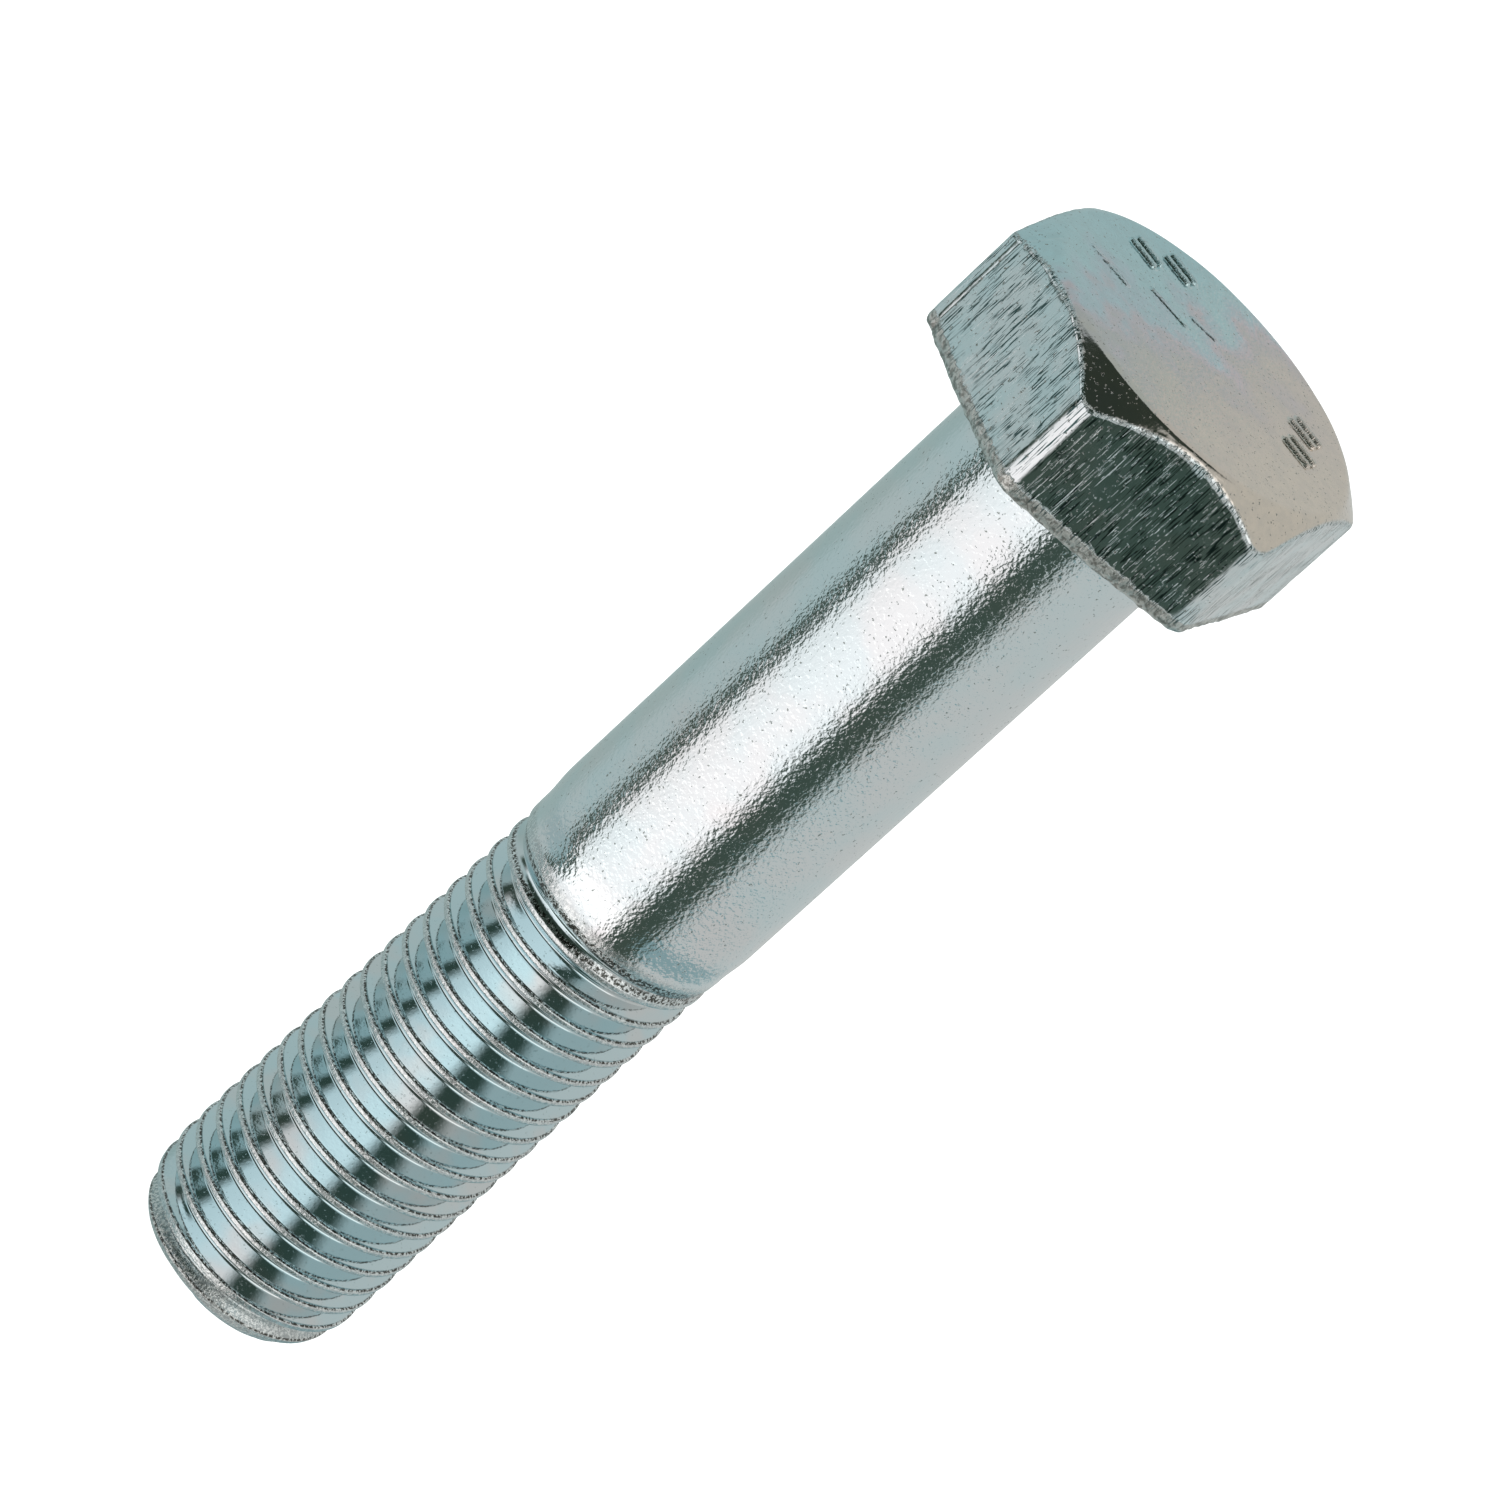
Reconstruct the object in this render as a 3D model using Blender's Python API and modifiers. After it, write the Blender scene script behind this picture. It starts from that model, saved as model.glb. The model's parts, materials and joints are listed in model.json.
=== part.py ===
"""M16 x 80 hex bolt with a partial thread: one forging, with its thread rolled into the shank.

Metres, +Z along the bolt's axis towards the head. The origin is the centre of the threaded end, so
the thread stands on z = 0, the bearing face under the head is at BOLT_LENGTH, and the head is above it.
"""

import math

import bmesh
import bpy

MM = 0.001

# Driving dimensions
THREAD_DIAMETER = 16.0 * MM
PITCH = 2.0 * MM
BOLT_LENGTH = 80.0 * MM
SHANK_LENGTH = 40.6 * MM
ACROSS_FLATS = 24.0 * MM
HEAD_HEIGHT = 10.0 * MM
THREAD_TOP = BOLT_LENGTH - SHANK_LENGTH
HEAD_TOP = BOLT_LENGTH + HEAD_HEIGHT

# Head
TOP_FACE_DIAMETER = 0.96 * ACROSS_FLATS
TOP_CHAMFER_ANGLE = math.radians(43.0)
UNDERSIDE_DIAMETER = 1.03 * ACROSS_FLATS
UNDERSIDE_CHAMFER_ANGLE = math.radians(12.0)
WASHER_FACE_DIAMETER = 0.92 * ACROSS_FLATS
WASHER_FACE_HEIGHT = 0.5 * MM
CORNER_ROUND = 0.95 * MM
TURNING_RADIUS = 0.64 * ACROSS_FLATS
TURNING_STEPS = 48

# Shank and the rounded neck under the head
SHANK_RADIUS = 0.5 * THREAD_DIAMETER
NECK_FILLET = 0.7 * MM
NECK_STEPS = 4
ROOT_IN_HEAD = 1.5 * MM

# Thread: a 60 degree profile with a flat crest and a flat root
CREST_RADIUS = 0.49 * THREAD_DIAMETER
SHARP_HEIGHT = PITCH * math.sqrt(3.0) / 2.0
THREAD_DEPTH = SHARP_HEIGHT * 17.0 / 24.0
HALF_CREST = PITCH / 16.0
HALF_ROOT = PITCH / 12.0
RUNOUT = 2.0 * PITCH
THREAD_START = math.radians(137.5)
SHOULDER_LENGTH = 0.6 * PITCH

# Rounded end
TIP_RADIUS = 0.41 * THREAD_DIAMETER
TIP_LENGTH = 3.4 * MM

ROUND_STEPS = 36
MERGE = 0.002 * MM
SMOOTH_ANGLE = math.radians(30.0)

ZINC_COLOUR = (0.62, 0.66, 0.68, 1.0)
ZINC_METALLIC = 1.0
ZINC_ROUGHNESS = 0.28


def clear_scene():
    for scene_object in list(bpy.data.objects):
        bpy.data.objects.remove(scene_object, do_unlink=True)


def make_collection(name):
    collection = bpy.data.collections.new(name)
    bpy.context.scene.collection.children.link(collection)
    return collection


def zinc_plate():
    material = bpy.data.materials.new("zinc_plated_steel")
    material.use_nodes = True
    shader = material.node_tree.nodes["Principled BSDF"]
    shader.inputs["Base Color"].default_value = ZINC_COLOUR
    shader.inputs["Metallic"].default_value = ZINC_METALLIC
    shader.inputs["Roughness"].default_value = ZINC_ROUGHNESS
    return material


def object_from_bmesh(name, mesh_builder, collection):
    mesh = bpy.data.meshes.new(name)
    mesh_builder.to_mesh(mesh)
    mesh_builder.free()
    made = bpy.data.objects.new(name, mesh)
    collection.objects.link(made)
    return made


def smooth_ramp(value):
    """0 below 0, 1 above 1, and an S curve between."""
    value = min(max(value, 0.0), 1.0)
    return value * value * (3.0 - 2.0 * value)


def hexagon_prism(collection):
    """The wrench flats. Two of them face +X and -X, and the six upright corners are rounded."""
    builder = bmesh.new()
    circumradius = ACROSS_FLATS / math.sqrt(3.0)
    bmesh.ops.create_cone(
        builder,
        cap_ends=True,
        segments=6,
        radius1=circumradius,
        radius2=circumradius,
        depth=HEAD_HEIGHT,
    )
    bmesh.ops.translate(builder, verts=builder.verts, vec=(0.0, 0.0, HEAD_TOP - HEAD_HEIGHT / 2.0))
    upright = [edge for edge in builder.edges if abs(edge.verts[0].co.z - edge.verts[1].co.z) > MERGE]
    bmesh.ops.bevel(
        builder,
        geom=upright,
        offset=CORNER_ROUND,
        segments=3,
        profile=0.5,
        affect="EDGES",
    )
    return object_from_bmesh("hex_bolt", builder, collection)


def chamfer_turning(collection):
    """The turned envelope: it chamfers the head's corners and leaves the washer face underneath."""
    top_radius = TOP_FACE_DIAMETER / 2.0
    low_radius = UNDERSIDE_DIAMETER / 2.0
    washer_radius = WASHER_FACE_DIAMETER / 2.0
    flats_base = BOLT_LENGTH + WASHER_FACE_HEIGHT
    top_drop = (TURNING_RADIUS - top_radius) * math.tan(TOP_CHAMFER_ANGLE)
    low_rise = (TURNING_RADIUS - low_radius) * math.tan(UNDERSIDE_CHAMFER_ANGLE)
    outline = [
        (0.0, HEAD_TOP),
        (top_radius, HEAD_TOP),
        (TURNING_RADIUS, HEAD_TOP - top_drop),
        (TURNING_RADIUS, flats_base + low_rise),
        (low_radius, flats_base),
        (washer_radius, flats_base),
        (washer_radius, BOLT_LENGTH),
        (0.0, BOLT_LENGTH),
    ]
    mesh = bpy.data.meshes.new("chamfer_turning")
    points = [(radius, 0.0, height) for radius, height in outline]
    mesh.from_pydata(points, [(i, i + 1) for i in range(len(points) - 1)], [])
    turning = bpy.data.objects.new("chamfer_turning", mesh)
    collection.objects.link(turning)
    screw = turning.modifiers.new("turn", "SCREW")
    screw.steps = TURNING_STEPS
    screw.render_steps = TURNING_STEPS
    screw.use_merge_vertices = True
    screw.merge_threshold = MERGE
    turning.hide_render = True
    turning.display_type = "WIRE"
    return turning


def helix_rows():
    """The thread profile's corners along the axis, as (height at angle 0, groove depth) pairs.

    Each turn has four: the crest's two edges and the root's two. They start over a pitch below the
    tip, because a row climbs one pitch on its way around the bolt.
    """
    turns = math.ceil(THREAD_TOP / PITCH) + 2
    rows = []
    for turn in range(turns):
        crest = (turn - 1.0) * PITCH
        root = crest + PITCH / 2.0
        rows.append((crest - HALF_CREST, 0.0))
        rows.append((crest + HALF_CREST, 0.0))
        rows.append((root - HALF_ROOT, THREAD_DEPTH))
        rows.append((root + HALF_ROOT, THREAD_DEPTH))
    return rows


def neck_rows():
    """The plain shank above the thread and the fillet under the head, as (height, radius) pairs."""
    rows = [(BOLT_LENGTH - NECK_FILLET, SHANK_RADIUS)]
    for step in range(1, NECK_STEPS + 1):
        angle = math.pi / 2.0 * step / NECK_STEPS
        height = BOLT_LENGTH - NECK_FILLET + NECK_FILLET * math.sin(angle)
        radius = SHANK_RADIUS + NECK_FILLET * (1.0 - math.cos(angle))
        rows.append((height, radius))
    rows.append((BOLT_LENGTH + ROOT_IN_HEAD, SHANK_RADIUS + NECK_FILLET))
    return rows


def thread_radius(height, groove):
    """Radius of a point of the thread: the crest, less the groove, inside the rounded end."""
    below_shank = THREAD_TOP - height
    shoulder = smooth_ramp(below_shank / SHOULDER_LENGTH)
    crest = SHANK_RADIUS + (CREST_RADIUS - SHANK_RADIUS) * shoulder
    radius = crest - groove * smooth_ramp((below_shank - SHOULDER_LENGTH / 2.0) / RUNOUT)
    into_tip = (TIP_LENGTH - height) / TIP_LENGTH
    if into_tip > 0.0:
        rounding = TIP_RADIUS + (CREST_RADIUS - TIP_RADIUS) * math.sqrt(1.0 - into_tip * into_tip)
        radius = min(radius, rounding)
    return radius


def row_point(row, angle):
    """A helix row climbs with the angle, and stops at the tip's plane and at the plain shank."""
    height, groove = row
    height += PITCH * angle / (2.0 * math.pi)
    if height < MERGE:
        height = 0.0
    if height > THREAD_TOP - MERGE:
        height = THREAD_TOP
    return height, thread_radius(height, groove)


def threaded_shank(collection):
    """A grid rolled into a round bar: its rows follow the thread's helix, then the plain shank."""
    helix = helix_rows()
    plain = neck_rows()
    row_count = len(helix) + len(plain)
    builder = bmesh.new()
    grid = bmesh.ops.create_grid(builder, x_segments=ROUND_STEPS, y_segments=row_count - 1, size=1.0)
    for vert in grid["verts"]:
        column = round((vert.co.x + 1.0) / 2.0 * ROUND_STEPS)
        row = round((vert.co.y + 1.0) / 2.0 * (row_count - 1))
        angle = 2.0 * math.pi * column / ROUND_STEPS
        if row < len(helix):
            height, radius = row_point(helix[row], angle)
        else:
            height, radius = plain[row - len(helix)]
        around = angle + THREAD_START
        vert.co = (radius * math.cos(around), radius * math.sin(around), height)
    bmesh.ops.remove_doubles(builder, verts=builder.verts, dist=MERGE)
    rims = [edge for edge in builder.edges if edge.is_boundary]
    bmesh.ops.holes_fill(builder, edges=rims, sides=0)
    bmesh.ops.recalc_face_normals(builder, faces=builder.faces)
    bar = object_from_bmesh("threaded_shank", builder, collection)
    bar.hide_render = True
    bar.display_type = "WIRE"
    return bar


def join_or_cut(target, tool, operation):
    boolean = target.modifiers.new(tool.name, "BOOLEAN")
    boolean.operation = operation
    boolean.solver = "EXACT"
    boolean.object = tool


def shade_round(target):
    target.data.shade_smooth()
    target.data.set_sharp_from_angle(angle=SMOOTH_ANGLE)


def main():
    clear_scene()
    bolt_parts = make_collection("hex_bolt")
    shapers = make_collection("shapers")
    bolt = hexagon_prism(bolt_parts)
    join_or_cut(bolt, chamfer_turning(shapers), "INTERSECT")
    join_or_cut(bolt, threaded_shank(shapers), "UNION")
    shade_round(bolt)
    bolt.data.materials.append(zinc_plate())


main()
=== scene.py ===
import json
import math

import bmesh
import bpy
from mathutils import Matrix, Vector, noise


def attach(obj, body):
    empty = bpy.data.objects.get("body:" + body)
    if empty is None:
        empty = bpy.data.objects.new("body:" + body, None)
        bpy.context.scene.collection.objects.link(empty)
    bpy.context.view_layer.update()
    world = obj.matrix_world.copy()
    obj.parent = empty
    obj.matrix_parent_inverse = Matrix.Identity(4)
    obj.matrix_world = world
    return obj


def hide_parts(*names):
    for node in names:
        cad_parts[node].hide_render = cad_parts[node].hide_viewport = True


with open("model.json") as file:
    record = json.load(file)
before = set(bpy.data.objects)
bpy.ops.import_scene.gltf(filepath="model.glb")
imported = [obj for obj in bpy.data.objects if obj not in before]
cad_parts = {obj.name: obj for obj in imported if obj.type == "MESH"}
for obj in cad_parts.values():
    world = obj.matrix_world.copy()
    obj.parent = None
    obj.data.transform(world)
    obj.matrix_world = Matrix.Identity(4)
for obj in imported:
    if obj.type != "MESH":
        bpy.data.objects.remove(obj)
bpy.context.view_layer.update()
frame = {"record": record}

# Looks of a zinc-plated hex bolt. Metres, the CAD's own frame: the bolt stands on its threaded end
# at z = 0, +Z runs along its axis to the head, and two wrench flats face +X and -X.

MM = 0.001
TURN = 2.0 * math.pi

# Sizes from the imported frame
MOUNTS = {mount["name"]: mount["pos_m"] for mount in frame["record"]["mounts"]}
HEAD_TOP = MOUNTS["head_top"][2]
SEAT = MOUNTS["bearing_face"][2]
HALF_FLATS = MOUNTS["wrench_flat_a"][0]
THREAD_DIAMETER = HALF_FLATS * 4.0 / 3.0

# Rolled thread. Its outer radius is full near the tip and gets thinner over a stretch above it.
# FLANK_END keeps the straight flank's last points this far from the rounded crest and root.
PITCH = 0.125 * THREAD_DIAMETER
THREAD_TOP = 39.4 * MM
THREAD_START = math.radians(137.5)
GROOVE_DEPTH = 1.27 * MM
FLANK_SLOPE = math.tan(math.radians(30.0))
CREST_HALF_WIDTH = 0.19 * MM
CREST_ROUND = 0.06 * MM
ROOT_ROUND = 0.09 * MM
FLANK_END = 0.05 * MM
FULL_CREST = 0.5 * THREAD_DIAMETER
THIN_CREST = 0.4865 * THREAD_DIAMETER
THINNING_START = 4.0 * MM
THINNING_LENGTH = 30.0 * MM
RUNOUT = 4.0 * MM
RUNOUT_TO_SHANK = 0.5 * MM
SHANK_TAPER = 2.4 * MM
SHANK_END_RADIUS = 0.4895 * THREAD_DIAMETER
TIP_LENGTH = 4.2 * MM
TIP_RADIUS = 0.40 * THREAD_DIAMETER
SHANK_RADIUS = 0.5 * THREAD_DIAMETER
SHANK_COLUMNS = 192
PLAIN_ROWS = 44
NECK_FILLET = 0.8 * MM
NECK_ROWS = 6
SUNK_IN_HEAD = 1.0 * MM

# Forged head. The top chamfer was turned a little off centre, so it is steeper on one side. A rounded
# edge takes at most LARGEST_CUT of the chamfer. Corner rounds go counter-clockwise from +30 degrees.
TOP_RADIUS = 11.6 * MM
TOP_EDGE_CUT = 0.35 * MM
CHAMFER_SLOPE = 0.80
CHAMFER_EXTRA_SLOPE = 0.36
CHAMFER_HEAVY_SIDE = math.radians(-55.0)
SIDE_EDGE_CUT = 0.28 * MM
WASHER_RADIUS = 11.04 * MM
WASHER_HEIGHT = 0.25 * MM
UNDERSIDE_SLOPE = math.tan(math.radians(5.0))
UNDERSIDE_EDGE_CUT = 0.5 * MM
WASHER_EDGE_CUT = 0.1 * MM
LARGEST_CUT = 0.45
ARC_STEPS = 6
CORNER_ROUNDS = (1.7 * MM, 1.7 * MM, 1.7 * MM, 0.7 * MM, 1.5 * MM, 1.7 * MM)
FACE_COLUMNS = 80
CORNER_CROWDING = 0.35
TOP_RINGS = 110
NECK_HOLE = 8.3 * MM

# Wear along the head's edges: full within the first distance, and faded out over the second. The seed
# can't be 0, which stands for the clock and would make a different head on every run.
TOP_EDGE_BAND = (0.12 * MM, 0.35 * MM)
BOTTOM_EDGE_BAND = (0.5 * MM, 0.9 * MM)
TOP_EDGE_WEAR = 0.42
EDGE_RUGGEDNESS = 0.07 * MM
DENT_SIZES = (0.55 * MM, 1.9 * MM)
DENT_SEED = 1
CAP_FADE = 0.2 * MM

# Raised marks on the top face: pairs of short bars along X, and single bars worn nearly flat.
# Middles and ends in millimetres.
BAR_HEIGHT = 0.2 * MM
BAR_HALF_WIDTH = 0.17 * MM
BAR_SIDE = 0.13 * MM
GROUP_BAR_HALF_LENGTH = 0.95
GROUP_SPACING = 1.0
GROUP_MIDDLES = ((-8.0, 3.4), (-6.4, 6.0), (6.1, 5.4), (7.2, 2.7))
WORN_BARS = (
    ((-9.0, -2.8), (-6.2, -2.4)),
    ((-5.4, 0.4), (-2.7, 0.9)),
    ((-2.9, 2.6), (-1.4, 3.3)),
)
WORN_BAR_SHARE = 0.45

# A long scratch down one flat and a knock on one corner. The cosine keeps the scratch off the other side.
SCRATCH_FLAT = math.radians(-120.0)
SCRATCH_SIDE_COSINE = 0.5
SCRATCH_OFFSET = -5.85 * MM
SCRATCH_HALF_WIDTH = 0.27 * MM
SCRATCH_DEPTH = 0.1 * MM
KNOCK_CORNER = math.radians(30.0)
KNOCK_HEIGHT = 83.4 * MM
KNOCK_REACH = 1.0 * MM
KNOCK_DEPTH = 0.3 * MM

# Mesh clean-up, and how near in height counts as level
MERGE = 0.0008 * MM
SLIVER = 0.0004 * MM
SAME_LEVEL = 0.01 * MM


def smooth_ramp(value):
    """0 below 0, 1 above 1, and an S curve between."""
    value = min(max(value, 0.0), 1.0)
    return value * value * (3.0 - 2.0 * value)


def mix(low, high, share):
    return low + (high - low) * share


# ---------------------------------------------------------------- meshes

def object_from_grid(name, rows, cap_heights=()):
    """A mesh from rows of points: each row closes on itself by repeating its first point, or the point
    one turn of the thread further on. Open rims at the heights in cap_heights are filled."""
    columns = len(rows[0])
    points = [point for row in rows for point in row]
    faces = []
    for row in range(len(rows) - 1):
        for column in range(columns - 1):
            low = row * columns + column
            high = low + columns
            faces.append((low, low + 1, high + 1, high))
    mesh = bpy.data.meshes.new(name)
    mesh.from_pydata(points, [], faces)
    builder = bmesh.new()
    builder.from_mesh(mesh)
    bmesh.ops.remove_doubles(builder, verts=builder.verts, dist=MERGE)
    bmesh.ops.dissolve_degenerate(builder, edges=builder.edges, dist=SLIVER)
    for height in cap_heights:
        rim = [
            edge
            for edge in builder.edges
            if edge.is_boundary and all(abs(vert.co.z - height) < SAME_LEVEL for vert in edge.verts)
        ]
        bmesh.ops.holes_fill(builder, edges=rim, sides=0)
    bmesh.ops.recalc_face_normals(builder, faces=builder.faces)
    builder.to_mesh(mesh)
    builder.free()
    mesh.shade_smooth()
    made = bpy.data.objects.new(name, mesh)
    bpy.context.scene.collection.objects.link(made)
    return made


def ring_point(radius, angle, height):
    return (radius * math.cos(angle), radius * math.sin(angle), height)


# ---------------------------------------------------------------- shank and thread

def thread_profile():
    """One turn of the rolled thread, as (height from the crest's middle, depth below the crest).

    The crest is nearly flat, the flanks are straight at 60 degrees to each other, and the root is rounded.
    """
    half_pitch = PITCH / 2.0
    foot_depth = GROOVE_DEPTH - ROOT_ROUND
    foot = CREST_HALF_WIDTH + (foot_depth - CREST_ROUND) * FLANK_SLOPE
    side = [
        (0.50 * CREST_HALF_WIDTH, 0.03 * CREST_ROUND),
        (0.84 * CREST_HALF_WIDTH, 0.25 * CREST_ROUND),
        (CREST_HALF_WIDTH, CREST_ROUND),
        (CREST_HALF_WIDTH + FLANK_END * FLANK_SLOPE, CREST_ROUND + FLANK_END),
        (foot - FLANK_END * FLANK_SLOPE, foot_depth - FLANK_END),
        (foot, foot_depth),
        (mix(foot, half_pitch, 0.4), GROOVE_DEPTH - 0.25 * ROOT_ROUND),
    ]
    lower = [(-height, depth) for height, depth in reversed(side)]
    return lower + [(0.0, 0.0)] + side + [(half_pitch, GROOVE_DEPTH)]


def crest_radius(height):
    """Outer radius of the rolled thread: full at the tip, thinner towards the shank."""
    return mix(FULL_CREST, THIN_CREST, smooth_ramp((height - THINNING_START) / THINNING_LENGTH))


def thread_radius(height, groove):
    """Radius of a point of the thread: the crest, less the groove, inside the rounded end."""
    below_shank = THREAD_TOP - height
    crest = mix(SHANK_END_RADIUS, crest_radius(height), smooth_ramp(below_shank / SHANK_TAPER))
    radius = crest - groove * smooth_ramp((below_shank - RUNOUT_TO_SHANK) / RUNOUT)
    into_tip = (TIP_LENGTH - height) / TIP_LENGTH
    if into_tip > 0.0:
        rounding = TIP_RADIUS + (FULL_CREST - TIP_RADIUS) * math.sqrt(max(0.0, 1.0 - into_tip * into_tip))
        radius = min(radius, rounding)
    return radius


def thread_rows():
    """Rows that climb one pitch on their way round, from below the tip to the end of the thread."""
    turns = math.ceil(THREAD_TOP / PITCH) + 2
    rows = []
    for turn in range(turns):
        for offset, groove in thread_profile():
            row = []
            for column in range(SHANK_COLUMNS + 1):
                share = column / SHANK_COLUMNS
                height = (turn - 1.0 + share) * PITCH + offset
                height = min(max(height, 0.0), THREAD_TOP)
                row.append(ring_point(thread_radius(height, groove), TURN * share + THREAD_START, height))
            rows.append(row)
    return rows


def plain_rows():
    """Level rows of the plain shank and of the fillet that joins it to the head."""
    outline = []
    angles = [TURN * column / SHANK_COLUMNS + THREAD_START for column in range(SHANK_COLUMNS + 1)]
    fillet_start = SEAT - NECK_FILLET
    for step in range(1, PLAIN_ROWS + 1):
        share = step / PLAIN_ROWS
        height = mix(THREAD_TOP, fillet_start, share * share)
        taper = smooth_ramp((height - THREAD_TOP) / SHANK_TAPER)
        outline.append((height, mix(SHANK_END_RADIUS, SHANK_RADIUS, taper)))
    for step in range(1, NECK_ROWS + 1):
        angle = TURN / 4.0 * step / NECK_ROWS
        height = fillet_start + NECK_FILLET * math.sin(angle)
        outline.append((height, SHANK_RADIUS + NECK_FILLET * (1.0 - math.cos(angle))))
    outline.append((SEAT + SUNK_IN_HEAD, SHANK_RADIUS + NECK_FILLET))
    return [[ring_point(radius, angle, height) for angle in angles] for height, radius in outline]


def add_attribute(mesh, name, values):
    attribute = mesh.attributes.new(name, "FLOAT", "POINT")
    attribute.data.foreach_set("value", values)


def depth_in_thread(point):
    """How far a point lies below the thread's crest, in millimetres. It is 0 on the plain shank."""
    if point.z >= THREAD_TOP:
        return 0.0
    return (thread_radius(point.z, 0.0) - math.hypot(point.x, point.y)) / MM


def make_shank():
    shank = object_from_grid("bolt_shank", thread_rows() + plain_rows(), (0.0, SEAT + SUNK_IN_HEAD))
    add_attribute(shank.data, "depth", [depth_in_thread(vert.co) for vert in shank.data.vertices])
    return shank


# ---------------------------------------------------------------- head

def hexagon_radius(angle):
    """Distance from the axis to the hexagon's outline, with its corners rounded."""
    sector = math.floor(angle / (TURN / 6.0))
    corner_angle = (sector + 0.5) * TURN / 6.0
    corner_round = CORNER_ROUNDS[sector % 6]
    off_corner = angle - corner_angle
    centre = (HALF_FLATS - corner_round) / math.cos(TURN / 12.0)
    flat_angle = corner_angle + math.copysign(TURN / 12.0, off_corner)
    flat = HALF_FLATS / math.cos(angle - flat_angle)
    touches = math.atan2(
        corner_round * math.sin(TURN / 12.0), centre + corner_round * math.cos(TURN / 12.0)
    )
    if abs(off_corner) >= touches:
        return flat
    across = centre * math.sin(off_corner)
    return centre * math.cos(off_corner) + math.sqrt(corner_round * corner_round - across * across)


def rounded_outline(corners):
    """Points along a polyline of (radius, height, cut at the corner, steps to the next corner)."""
    points = [corners[0][:2]]
    for index in range(1, len(corners)):
        before = points[-1]
        start = Vector(corners[index - 1][:2])
        here = Vector(corners[index][:2])
        cut = corners[index][2]
        steps = corners[index - 1][3]
        stop = here + (start - here).normalized() * cut
        for step in range(1, steps + 1):
            share = step / steps
            points.append((mix(before[0], stop[0], share), mix(before[1], stop[1], share)))
        if index == len(corners) - 1:
            break
        following = Vector(corners[index + 1][:2])
        leave = here + (following - here).normalized() * cut
        for step in range(1, ARC_STEPS + 1):
            share = step / ARC_STEPS
            points.append(tuple(stop.lerp(here, share).lerp(here.lerp(leave, share), share)))
    return points


def side_ends(angle):
    """Where the head's side is at one angle: its radius, and the heights of its top and bottom edges."""
    side = hexagon_radius(angle)
    slope = CHAMFER_SLOPE + CHAMFER_EXTRA_SLOPE * max(0.0, math.cos(angle - CHAMFER_HEAVY_SIDE))
    top = HEAD_TOP - (side - TOP_RADIUS) * slope
    bottom = SEAT + WASHER_HEIGHT + (side - WASHER_RADIUS) * UNDERSIDE_SLOPE
    return side, top, bottom


def head_outline(angle):
    """The head's section at one angle, from the middle of its top face round to its underside."""
    side, top, bottom = side_ends(angle)
    chamfer_length = math.hypot(side - TOP_RADIUS, HEAD_TOP - top)
    washer_top = SEAT + WASHER_HEIGHT
    return rounded_outline([
        (0.0, HEAD_TOP, 0.0, TOP_RINGS),
        (TOP_RADIUS, HEAD_TOP, min(TOP_EDGE_CUT, LARGEST_CUT * chamfer_length), 8),
        (side, top, min(SIDE_EDGE_CUT, LARGEST_CUT * chamfer_length), 30),
        (side, bottom, UNDERSIDE_EDGE_CUT, 5),
        (WASHER_RADIUS, washer_top, WASHER_EDGE_CUT, 2),
        (WASHER_RADIUS, SEAT, WASHER_EDGE_CUT, 2),
        (NECK_HOLE, SEAT, 0.0, 1),
    ])


def bar_share(x, y, bar):
    """How much of a raised bar's height stands at a point of the top face: 1 on the bar, 0 beside it."""
    start = Vector(bar[0]) * MM
    along = Vector(bar[1]) * MM - start
    point = Vector((x, y)) - start
    share = min(max(point.dot(along) / along.length_squared, 0.0), 1.0)
    gap = (point - along * share).length
    return smooth_ramp((BAR_HALF_WIDTH + BAR_SIDE - gap) / BAR_SIDE)


def group_bars():
    """The ends of each full-height bar: two bars side by side at every group's middle."""
    bars = []
    for x, y in GROUP_MIDDLES:
        for step in (-0.5, 0.5):
            level = y + step * GROUP_SPACING
            bars.append(((x - GROUP_BAR_HALF_LENGTH, level), (x + GROUP_BAR_HALF_LENGTH, level)))
    return bars


def mark_share(x, y):
    """How much of the marks' full height stands at a point of the top face."""
    full = max(bar_share(x, y, bar) for bar in group_bars())
    worn = max(bar_share(x, y, bar) for bar in WORN_BARS)
    return max(full, WORN_BAR_SHARE * worn)


def near_edge(distance, band):
    """1 within the band's first distance of an edge, and 0 beyond its fade."""
    full, fade = band
    return 1.0 - smooth_ramp((distance - full) / fade)


def edge_share(point):
    """Wear along the head's edges: 1 on the bottom edge and less on the top one, 0 away from both."""
    side, top, bottom = side_ends(math.atan2(point.y, point.x))
    off_side = math.hypot(point.x, point.y) - side
    near_top = near_edge(math.hypot(off_side, point.z - top), TOP_EDGE_BAND)
    near_bottom = near_edge(math.hypot(off_side, point.z - bottom), BOTTOM_EDGE_BAND)
    return max(TOP_EDGE_WEAR * near_top, near_bottom)


def cap_share(point):
    """1 on the head's top face and chamfer, 0 on its sides and underneath."""
    chamfer_end = side_ends(math.atan2(point.y, point.x))[1]
    return smooth_ramp((point.z - chamfer_end) / CAP_FADE)


def scratch_share(point):
    """1 along the middle of the long scratch on one flat, and 0 beside it."""
    around = math.atan2(point.y, point.x)
    off_scratch = -point.x * math.sin(SCRATCH_FLAT) + point.y * math.cos(SCRATCH_FLAT) - SCRATCH_OFFSET
    if math.cos(around - SCRATCH_FLAT) <= SCRATCH_SIDE_COSINE:
        return 0.0
    return max(0.0, 1.0 - abs(off_scratch) / SCRATCH_HALF_WIDTH)


def knock_share(point):
    """1 in the middle of the knocked corner, and 0 beyond its reach."""
    corner = Vector(ring_point(HALF_FLATS / math.cos(TURN / 12.0), KNOCK_CORNER, KNOCK_HEIGHT))
    return smooth_ramp(1.0 - (point - corner).length / KNOCK_REACH)


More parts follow.
